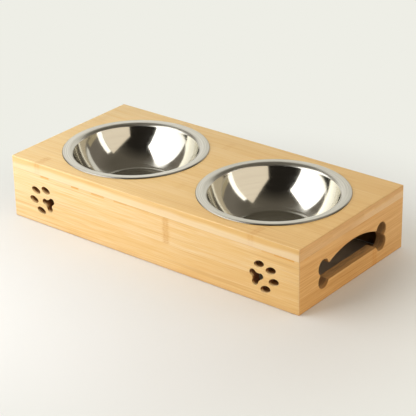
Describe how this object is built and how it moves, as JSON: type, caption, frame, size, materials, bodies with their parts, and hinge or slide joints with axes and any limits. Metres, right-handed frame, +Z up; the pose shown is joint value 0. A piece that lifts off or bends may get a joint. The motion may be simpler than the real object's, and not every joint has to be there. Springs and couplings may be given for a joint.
{
  "type": "double pet bowl stand",
  "caption": "Low bamboo stand whose drilled top board carries lift-out steel pet bowls, with a bone-shaped hand hole in each end and paw-print cut-outs in front.",
  "frame": {"origin": "on the ground under the middle of the stand", "axes": "+X along the stand, with the paw-print front facing -Y, and +Z up"},
  "size_m": [0.4, 0.193, 0.0765],
  "materials": {
    "bamboo": "smooth laminated bamboo with a satin clear lacquer",
    "spline_wood": "sawn bamboo, glued",
    "dowel_wood": "turned beech, glued",
    "bowl_steel": "stainless steel, polished inside with a lathe-brushed flange"
  },
  "bodies": {
    "stand": {"top_board": "bamboo", "front_panel": "bamboo", "back_panel": "bamboo", "left_end_panel": "bamboo", "right_end_panel": "bamboo", "front_left_mitre_spline": "spline_wood", "front_right_mitre_spline": "spline_wood", "back_left_mitre_spline": "spline_wood", "back_right_mitre_spline": "spline_wood", "front_dowel_1": "dowel_wood", "front_dowel_2": "dowel_wood", "front_dowel_3": "dowel_wood", "front_dowel_4": "dowel_wood", "back_dowel_1": "dowel_wood", "back_dowel_2": "dowel_wood", "back_dowel_3": "dowel_wood", "back_dowel_4": "dowel_wood", "left_end_dowel_1": "dowel_wood", "left_end_dowel_2": "dowel_wood", "right_end_dowel_1": "dowel_wood", "right_end_dowel_2": "dowel_wood"},
    "left_bowl": {"left_bowl": "bowl_steel"},
    "right_bowl": {"right_bowl": "bowl_steel"}
  },
  "joints": [
    {"name": "left_bowl_lift", "type": "slide", "parent": "stand", "child": "left_bowl", "axis": [0, 0, 1], "range_m": [0, 0.06]},
    {"name": "right_bowl_lift", "type": "slide", "parent": "stand", "child": "right_bowl", "axis": [0, 0, 1], "range_m": [0, 0.06]}
  ]
}
